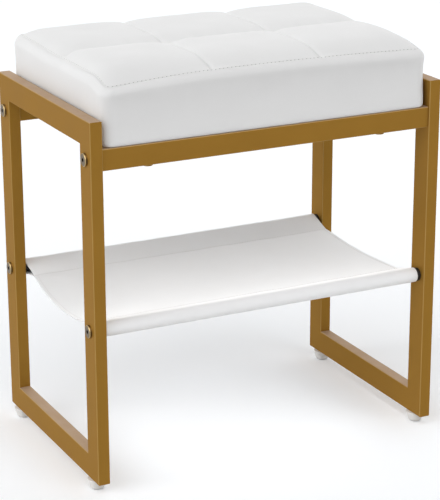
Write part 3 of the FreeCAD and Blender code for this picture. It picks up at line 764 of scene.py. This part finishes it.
upward = np.array([0.0, 0.0, 1.0])
stitch_lift = 0.00008
hem_stitch_inset = 0.0055
columns, rows = len(across_lines), len(centre_line)
top_grid = np.array(sling_points[: columns * rows]).reshape(columns, rows, 3)
front_seam, rear_seam = len(front_half) - span_steps, len(front_half) + span_steps
hem_columns = [
    int(np.argmin(np.abs(across_lines - sign * (sling_half - hem_stitch_inset))))
    for sign in (-1, 1)
]
sling_rows = []
for lines, stitch, width in (
    ([top_grid[:, row] for row in (rear_seam, front_seam)], 0.0028, 0.0007),
    ([top_grid[column, front_seam: rear_seam + 1] for column in hem_columns], 0.0026, 0.0006),
):
    for line in lines:
        lifted, normals = line + upward * stitch_lift, np.tile(upward, (len(line), 1))
        sling_rows.append(stitch_row(lifted, normals, stitch, 0.0009, width, 0.0005))
sling_stitches = new_piece("sling_stitches", *join_rows(sling_rows), white_thread)
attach(sling_stitches, "stool")


# Cushion: foam on a board in a white faux-leather cover. The top is six panels
# sewn together and pulled down at their seams; a side band is sewn round it,
# rolls over the top edge, and is turned under the board.

cover_low, cover_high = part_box("seat_cover")
seat_half_x = cover_high.x
seat_half_y = cover_high.y
seat_base = cover_low.z
corner_radius = 0.014
end_inset = 0.008
face_inset = 0.0065
end_drop = 0.0115
face_drop = 0.0095
seam_lip = 0.0007
bottom_radius = 0.004
crown_height = 0.0862
panel_seam_x = 0.0693
flap_width = 0.032
board_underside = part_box("seat_board")[0].z
top_half_x = seat_half_x - end_inset
top_half_y = seat_half_y - face_inset
top_radius_x = corner_radius - end_inset
top_radius_y = corner_radius - face_inset
flap_edge_x = seat_half_x - flap_width
flap_edge_y = seat_half_y - flap_width


def graded_lines(start, end, fine_start, fine_end, coarse):
    """Places from start to end, closer together towards the fine ends."""
    gaps_up, gaps_down = [], []
    total, up, down = 0.0, fine_start, fine_end
    while total < end - start:
        if up <= down:
            gaps_up.append(up)
            total += up
            up = min(up * 1.3, coarse)
        else:
            gaps_down.append(down)
            total += down
            down = min(down * 1.3, coarse)
    gaps = np.array(gaps_up + gaps_down[::-1])
    gaps *= (end - start) / gaps.sum()
    return start + np.concatenate([[0.0], np.cumsum(gaps)])


def mirrored(lines):
    """The same places on both sides of zero."""
    return np.unique(np.round(np.concatenate([-lines[::-1], lines]), 7))


x_lines = mirrored(np.concatenate([
    graded_lines(0.0, panel_seam_x, 0.003, 0.0004, 0.003),
    graded_lines(panel_seam_x, flap_edge_x, 0.0004, 0.003, 0.003)[1:],
    graded_lines(flap_edge_x, top_half_x, 0.003, 0.0007, 0.003)[1:],
]))
y_lines = mirrored(np.concatenate([
    graded_lines(0.0, flap_edge_y, 0.0006, 0.003, 0.003),
    graded_lines(flap_edge_y, top_half_y, 0.003, 0.0007, 0.003)[1:],
]))
count_x, count_y = len(x_lines), len(y_lines)


def corner_share(x, y):
    """How far into a round corner a point of the square grid lies, and at
    which angle, counted from the ends; both are zero outside the corners."""
    past_x = (abs(x) - top_half_x) / top_radius_x + 1
    past_y = (abs(y) - top_half_y) / top_radius_y + 1
    if past_x <= 0 or past_y <= 0:
        return 0.0, 0.0
    if past_x >= past_y:
        return past_x, math.pi / 4 * past_y / past_x
    return past_y, math.pi / 2 - math.pi / 4 * past_x / past_y


def rounded_place(x, y, radius_x=top_radius_x, radius_y=top_radius_y):
    """Moves a point of the square-cornered grid to a round-cornered outline."""
    reach, angle = corner_share(x, y)
    if reach == 0.0:
        return x, y
    return (
        math.copysign(top_half_x - top_radius_x + radius_x * reach * math.cos(angle), x),
        math.copysign(top_half_y - top_radius_y + radius_y * reach * math.sin(angle), y),
    )


front_border, front_bow = 0.0683, 0.0042
rear_border, rear_bow = 0.0740, 0.0012
rear_tilt, rear_left_rise = 0.0008, 0.0035
corner_pull, pull_radius = 0.0038, 0.075
front_depth = 0.045
border_wander = 0.0006


def left_front_gap(x, y):
    """Square of the distance from the seat's front left corner."""
    return (x + seat_half_x) ** 2 + (y + seat_half_y) ** 2


def border_level(x, y):
    """Height of the border seam above the seat's base; it dips in front."""
    bow = 1 - (x / seat_half_x) ** 2
    pulled = math.exp(-left_front_gap(x, y) / pull_radius ** 2)
    front = front_border + front_bow * bow - corner_pull * pulled
    away = float(smooth_step(y, -seat_half_y, front_depth - seat_half_y))
    behind = float(smooth_step(y, 0.02, 0.12)) * (1 - x / seat_half_x) / 2
    rear = rear_border + rear_tilt * x / seat_half_x + rear_bow * bow + rear_left_rise * behind
    uneven = border_wander * noise.noise(Vector((x * 11.0, y * 11.0, 2.3)))
    return front + (rear - front) * away + uneven


def roll_up(gap, reach, fullness):
    """Share of the crown reached at a distance from the border."""
    return 1 - (1 - min(max(gap / reach, 0.0), 1.0)) ** fullness


panel_valley, panel_groove = 0.0030, 0.0034
middle_valley, middle_groove = 0.0040, 0.0009
crossing_dip = 0.0016
panel_pucker, border_pucker = 0.0007, 0.0006
top_slack = 0.0008


def top_level(x, y):
    """Height of the tufted top above the seat's base."""
    gap_x, gap_y = top_half_x - abs(x), top_half_y - abs(y)
    across = roll_up(gap_x, 0.030, 2.8)
    along = roll_up(gap_y, 0.070, 2.3) if y < 0 else roll_up(gap_y, 0.030, 2.8)
    full = across * along
    border = border_level(x, y)
    level = border + (crown_height - border) * full
    near_border = float(smooth_step(min(gap_x, gap_y), 0.0, 0.009))
    panel_gap = abs(abs(x) - panel_seam_x)
    level -= near_border * panel_valley * math.exp(-(panel_gap / 0.015) ** 1.3)
    level -= (0.25 + 0.75 * near_border) * panel_groove * math.exp(-panel_gap / 0.0022)
    middle_dip = middle_valley * math.exp(-(abs(y) / 0.017) ** 1.5)
    middle_dip += middle_groove * math.exp(-abs(y) / 0.003)
    level -= near_border * middle_dip
    level -= crossing_dip * math.exp(-(panel_gap ** 2 + y ** 2) / 0.013 ** 2)
    pucker = 0.0
    for gap, along_seam, key in ((panel_gap, y, 1.7 + math.copysign(1.0, x)), (abs(y), x, 6.1)):
        ripple = noise.noise(Vector((along_seam * 90.0, key, gap * 35.0)))
        pucker += panel_pucker * math.exp(-gap / 0.010) * ripple
    border_gap = min(gap_x, gap_y)
    along_border = x if gap_y < gap_x else y
    ripple = noise.noise(Vector((along_border * 75.0, 9.4, border_gap * 30.0)))
    pucker += border_pucker * math.exp(-border_gap / 0.012) * ripple
    slack = top_slack * noise.noise(Vector((x * 24.0, y * 24.0, 4.0))) * full
    return level + pucker * near_border + slack


face_draw, end_draw = 0.0033, 0.0008
band_wave, band_fold = 0.0011, 0.0004
lip_radius = 0.05
under_gap = 0.0001


def build_cushion():
    """Points and faces of the cover, and its border's grid places in order."""
    points, index = [], {}
    for i, x in enumerate(x_lines):
        for j, y in enumerate(y_lines):
            px, py = rounded_place(x, y)
            index[i, j] = len(points)
            points.append((px, py, seat_base + top_level(px, py)))
    faces = [
        (index[i, j], index[i + 1, j], index[i + 1, j + 1], index[i, j + 1])
        for i in range(count_x - 1) for j in range(count_y - 1)
    ]
    around = grid_rim(count_x, count_y)

    def end_share(i, j):
        """1 on the seat's ends, 0 on its front and rear, between in corners."""
        reach, angle = corner_share(x_lines[i], y_lines[j])
        if reach > 0.0:
            return math.cos(angle) ** 2
        return 1.0 if i in (0, count_x - 1) else 0.0

    def band_place(i, j, rolled, drawn):
        """Point below a border vertex: rolled outward by a share of the
        border's inset, and drawn in from the full outline."""
        x, y = x_lines[i], y_lines[j]
        grow_x, grow_y = rolled * end_inset - drawn, rolled * face_inset - drawn
        if corner_share(x, y)[0] > 0.0:
            return rounded_place(x, y, top_radius_x + grow_x, top_radius_y + grow_y)
        if j in (0, count_y - 1):
            return x, math.copysign(top_half_y + grow_y, y)
        return math.copysign(top_half_x + grow_x, x), y

    rows = [("roll", share) for share in (0.06, 0.16, 0.29, 0.43, 0.58, 0.73, 0.87, 1.0)]
    rows += [("band", b / 14) for b in range(1, 15)]
    rows += [("turn", math.radians(a)) for a in (25, 48, 70, 90)]
    previous = [index[key] for key in around]
    for kind, value in rows:
        current = []
        for i, j in around:
            share = end_share(i, j)
            drop = face_drop + (end_drop - face_drop) * share
            draw = face_draw + (end_draw - face_draw) * share
            edge_x, edge_y = band_place(i, j, 1.0, 0.0)
            near_corner = math.exp(-left_front_gap(edge_x, edge_y) / lip_radius ** 2)
            top = border_level(edge_x, edge_y) + seam_lip * (1 + near_corner)
            if kind == "roll":
                lean = math.radians(8 + 30 * share)
                angle = lean + (math.pi / 2 - lean) * value
                rolled = (math.sin(angle) - math.sin(lean)) / (1 - math.sin(lean))
                px, py = band_place(i, j, rolled, 0.0)
                pucker = border_pucker * noise.noise(Vector((edge_x * 75.0, edge_y * 75.0, 9.4)))
                fallen = drop * (math.cos(lean) - math.cos(angle)) / math.cos(lean)
                pz = top - fallen + pucker * (1 - value)
            elif kind == "band":
                high = top - drop
                pz = high + (bottom_radius - high) * value
                wave = noise.noise(Vector((edge_x * 17.0, edge_y * 17.0, pz * 34.0)))
                fold = noise.noise(Vector((edge_x * 48.0, edge_y * 48.0, pz * 13.0 + 7.0)))
                waist = math.sin(math.pi * value ** 0.8)
                drawn = draw * waist + (band_wave * wave + band_fold * fold) * min(1.0, 3.0 * waist)
                px, py = band_place(i, j, 1.0, max(drawn, 0.0))
            else:
                px, py = band_place(i, j, 1.0, bottom_radius * (1 - math.cos(value)))
                pz = bottom_radius * (1 - math.sin(value))
            current.append(len(points))
            points.append((px, py, seat_base + pz))
        for k in range(len(around)):
            n = (k + 1) % len(around)
            faces.append((previous[k], current[k], current[n], previous[n]))
        previous = current
    border = dict(zip(around, previous))
    under = {}
    shrink_x = (seat_half_x - bottom_radius) / top_half_x
    shrink_y = (seat_half_y - bottom_radius) / top_half_y
    for i, x in enumerate(x_lines):
        for j, y in enumerate(y_lines):
            if (i, j) in border:
                under[i, j] = border[i, j]
                continue
            px, py = rounded_place(x, y)
            inside = abs(x) < flap_edge_x - 0.0005 and abs(y) < flap_edge_y - 0.0005
            level = board_underside - under_gap if inside else seat_base
            under[i, j] = len(points)
            points.append((px * shrink_x, py * shrink_y, level))
    for i in range(count_x - 1):
        for j in range(count_y - 1):
            faces.append((under[i, j], under[i, j + 1], under[i + 1, j + 1], under[i + 1, j]))
    return points, faces, around


# Grain of faux leather: shallow closed cells with soft creases between them
leather_grain, entry, leave = new_group(
    "leather_grain", [("Cell size", 0.0012)],
    [("Height", "NodeSocketFloat"), ("Mask", "NodeSocketFloat")],
)
place = object_place(leather_grain)
wander = noise_map(leather_grain, place, 260.0)["Color"]
shifted = add_node(leather_grain, "ShaderNodeVectorMath", operation="MULTIPLY_ADD")
shifted.inputs[1].default_value = (0.0012, 0.0012, 0.0012)
leather_grain.links.new(wander, shifted.inputs[0])
leather_grain.links.new(place, shifted.inputs[2])
cell_scale = per_metre(leather_grain, entry.outputs["Cell size"])
cells = cell_map(leather_grain, shifted.outputs[0], cell_scale, feature="DISTANCE_TO_EDGE")
crease = math_node(leather_grain, "MULTIPLY", cells, 5.0)
crease = math_node(leather_grain, "MINIMUM", crease, 1.0)
leather_grain.links.new(crease, leave.inputs["Height"])
leather_grain.links.new(crease, leave.inputs["Mask"])

white_leather, tree, shader = new_finish("white_leather", 0.45, Specular_IOR_Level=0.4)
toned_color(tree, shader, (0.775, 0.775, 0.775, 1.0), 0.04, 0.05)
grain_cells = use_group(tree, leather_grain, Cell_size=0.0013)
varied_roughness(tree, shader, grain_cells.outputs["Mask"], 0.58, 0.44)
add_bump(tree, shader, grain_cells.outputs["Height"], 0.00005)
repaint(["seat_cover"], white_leather)

cushion_points, cushion_faces, cushion_border = build_cushion()
cushion = new_piece("tufted_cushion", cushion_points, cushion_faces, white_leather)
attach(cushion, "stool")
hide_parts("seat_cover", "seat_foam")


# Seat foam: a block of cream-coloured open-cell foam inside the cover, which
# hides it. Its cut faces show the small pores.

open_foam, tree, shader = new_finish("open_foam", 0.95, Specular_IOR_Level=0.1)
pore_color = (0.52, 0.46, 0.30, 1.0)
foam_color = (0.88, 0.83, 0.65, 1.0)
pores = cell_map(tree, object_place(tree), 700.0)
pore_walls = math_node(tree, "MINIMUM", math_node(tree, "MULTIPLY", pores, 2.0), 1.0)
foam_mix = mixed(tree, pore_walls, pore_color, foam_color)
toned_color(tree, shader, foam_mix, 0.12, 0.04)
add_bump(tree, shader, pores, 0.0003)
repaint(["seat_foam"], open_foam)


# Border stitching: a row of white top stitches just inside the border seam,
# all the way round. Between them sit small dark beads of painted shade for the
# needle holes, mostly in front, where the side band pulls at the seam.

# painted shade: dark colour standing for the shade inside the needle holes
hole_shade, tree, shader = new_finish("hole_shade", 0.9, Specular_IOR_Level=0.1)
toned_color(tree, shader, (0.22, 0.215, 0.21, 1.0), 0.5, 0.0008)
add_skin(tree, shader, 0.0004, 0.00005)

seam_gap = 0.0012
stitch_pitch = 0.005
stitch_line, stitch_up = [], []
for i, j in cushion_border + cushion_border[:1]:
    x, y = x_lines[i], y_lines[j]
    inner_x = math.copysign(min(abs(x), top_half_x - seam_gap), x)
    inner_y = math.copysign(min(abs(y), top_half_y - seam_gap), y)
    px, py = rounded_place(inner_x, inner_y)
    stitch_line.append((px, py, seat_base + top_level(px, py) + 0.00005))
    stitch_up.append((0.0, 0.0, 1.0))
thread_rows, hole_rows = [], []
for stretch, hole_length, hole_width in (
    (slice(0, count_x), 0.0014, 0.0008),
    (slice(count_x - 1, None), 0.0008, 0.0004),
):
    line, up = stitch_line[stretch], stitch_up[stretch]
    stitch_length = stitch_pitch - hole_length
    thread_rows.append(stitch_row(line, up, stitch_length, hole_length, 0.0009, 0.0007))
    hole_rows.append(
        stitch_row(line, up, hole_length, stitch_length, hole_width, 0.0005, phase=0.0))
border_stitches = new_piece("border_stitches", *join_rows(thread_rows), white_thread)
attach(border_stitches, "stool")
border_holes = new_piece("border_hole_shades", *join_rows(hole_rows), hole_shade)
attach(border_holes, "stool")


# Dust cloth: thin black non-woven cloth that closes the underside of the
# seat, stapled through the turned-under cover into the board.

flap_overlap = 0.007
rail_gap = 0.003
dust_half_x = flap_edge_x + flap_overlap
dust_half_y = -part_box("front_rail")[1].y - rail_gap
dust_thickness = 0.0004
dust_gap = 0.0003
dust_sag, crease_depth = 0.0009, 0.0007


def build_dust_cloth():
    """Points and faces of the cloth, a little slack between its edges."""
    lines_x = np.linspace(-dust_half_x, dust_half_x, 90)
    lines_y = np.linspace(-dust_half_y, dust_half_y, 54)
    top = []
    for x in lines_x:
        for y in lines_y:
            gap = min(dust_half_x - abs(x), dust_half_y - abs(y))
            slack = float(smooth_step(gap, 0.004, 0.05))
            crease = noise.noise(Vector((x * 24.0, y * 24.0, 8.0)))
            crease += 0.5 * noise.noise(Vector((x * 60.0, y * 60.0, 3.0)))
            top.append((x, y, seat_base - dust_gap - slack * (dust_sag + crease_depth * crease)))
    under = [(x, y, z - dust_thickness) for x, y, z in top]
    return top + under, two_sided_faces(len(lines_x), len(lines_y))


black_felt, tree, shader = new_finish("black_felt", 0.9, Specular_IOR_Level=0.15)
toned_color(tree, shader, (0.02, 0.02, 0.021, 1.0), 0.6, 0.002)
add_skin(tree, shader, 0.0012, 0.0001)
repaint(["dust_cover"], black_felt)
dust_cloth = new_piece("dust_cloth", *build_dust_cloth(), black_felt)
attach(dust_cloth, "stool")
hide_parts("dust_cover")


# Staples: flat zinc wire shot through the rim of the dust cloth and the cover
# into the board, some 32 mm apart and never quite in line.

staple_crown = 0.0095
staple_width = 0.0009
staple_thickness = 0.0006
staple_bend = 0.0005
staple_leg = 0.0016
staple_pitch = 0.032
rim_inset, corner_gap = 0.004, 0.010


def bent_wire(path, side, width, thickness):
    """Flat wire along a path in one plane; side is that plane's normal."""
    vertices, faces = [], []
    for k, point in enumerate(path):
        direction = path[min(k + 1, len(path) - 1)] - path[max(k - 1, 0)]
        across = np.cross(direction / np.linalg.norm(direction), side)
        for s, t in ((-1, -1), (1, -1), (1, 1), (-1, 1)):
            vertices.append(point + side * s * width / 2 + across * t * thickness / 2)
        if k:
            a = 4 * (k - 1)
            faces += [(a + m, a + (m + 1) % 4, a + 4 + (m + 1) % 4, a + 4 + m) for m in range(4)]
    last = 4 * (len(path) - 1)
    faces += [(3, 2, 1, 0), (last, last + 1, last + 2, last + 3)]
    return vertices, faces


staple_rows = []
rim_x, rim_y = dust_half_x - rim_inset, dust_half_y - rim_inset
for along_x, length, offset in (
    (True, rim_x, rim_y), (True, rim_x, -rim_y), (False, rim_y, rim_x), (False, rim_y, -rim_x),
):
    row_half = length - corner_gap
    count = round(2 * row_half / staple_pitch)
    for number in range(count + 1):
        at = -row_half + 2 * row_half * number / count
        skew = 0.12 * noise.noise(Vector((number * 1.7, offset * 50.0, length * 50.0)))
        aside = 0.0008 * noise.noise(Vector((number * 2.3, length * 70.0, offset * 40.0)))
        heading = skew + (0.0 if along_x else math.pi / 2)
        along = np.array([math.cos(heading), math.sin(heading), 0.0])
        side = np.array([-math.sin(heading), math.cos(heading), 0.0])
        middle = np.array([at, offset + aside, 0.0] if along_x else [offset + aside, at, 0.0])
        middle[2] = seat_base - dust_gap - dust_thickness - staple_thickness / 2
        half = staple_crown / 2
        path = [
            middle + along * reach + upward * rise
            for reach, rise in (
                (-half, staple_leg), (-half, staple_bend), (staple_bend - half, 0.0),
                (half - staple_bend, 0.0), (half, staple_bend), (half, staple_leg),
            )
        ]
        staple_rows.append(bent_wire(path, side, staple_width, staple_thickness))
staples = new_piece("dust_cloth_staples", *join_rows(staple_rows), zinc_plate, smooth=False)
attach(staples, "stool")
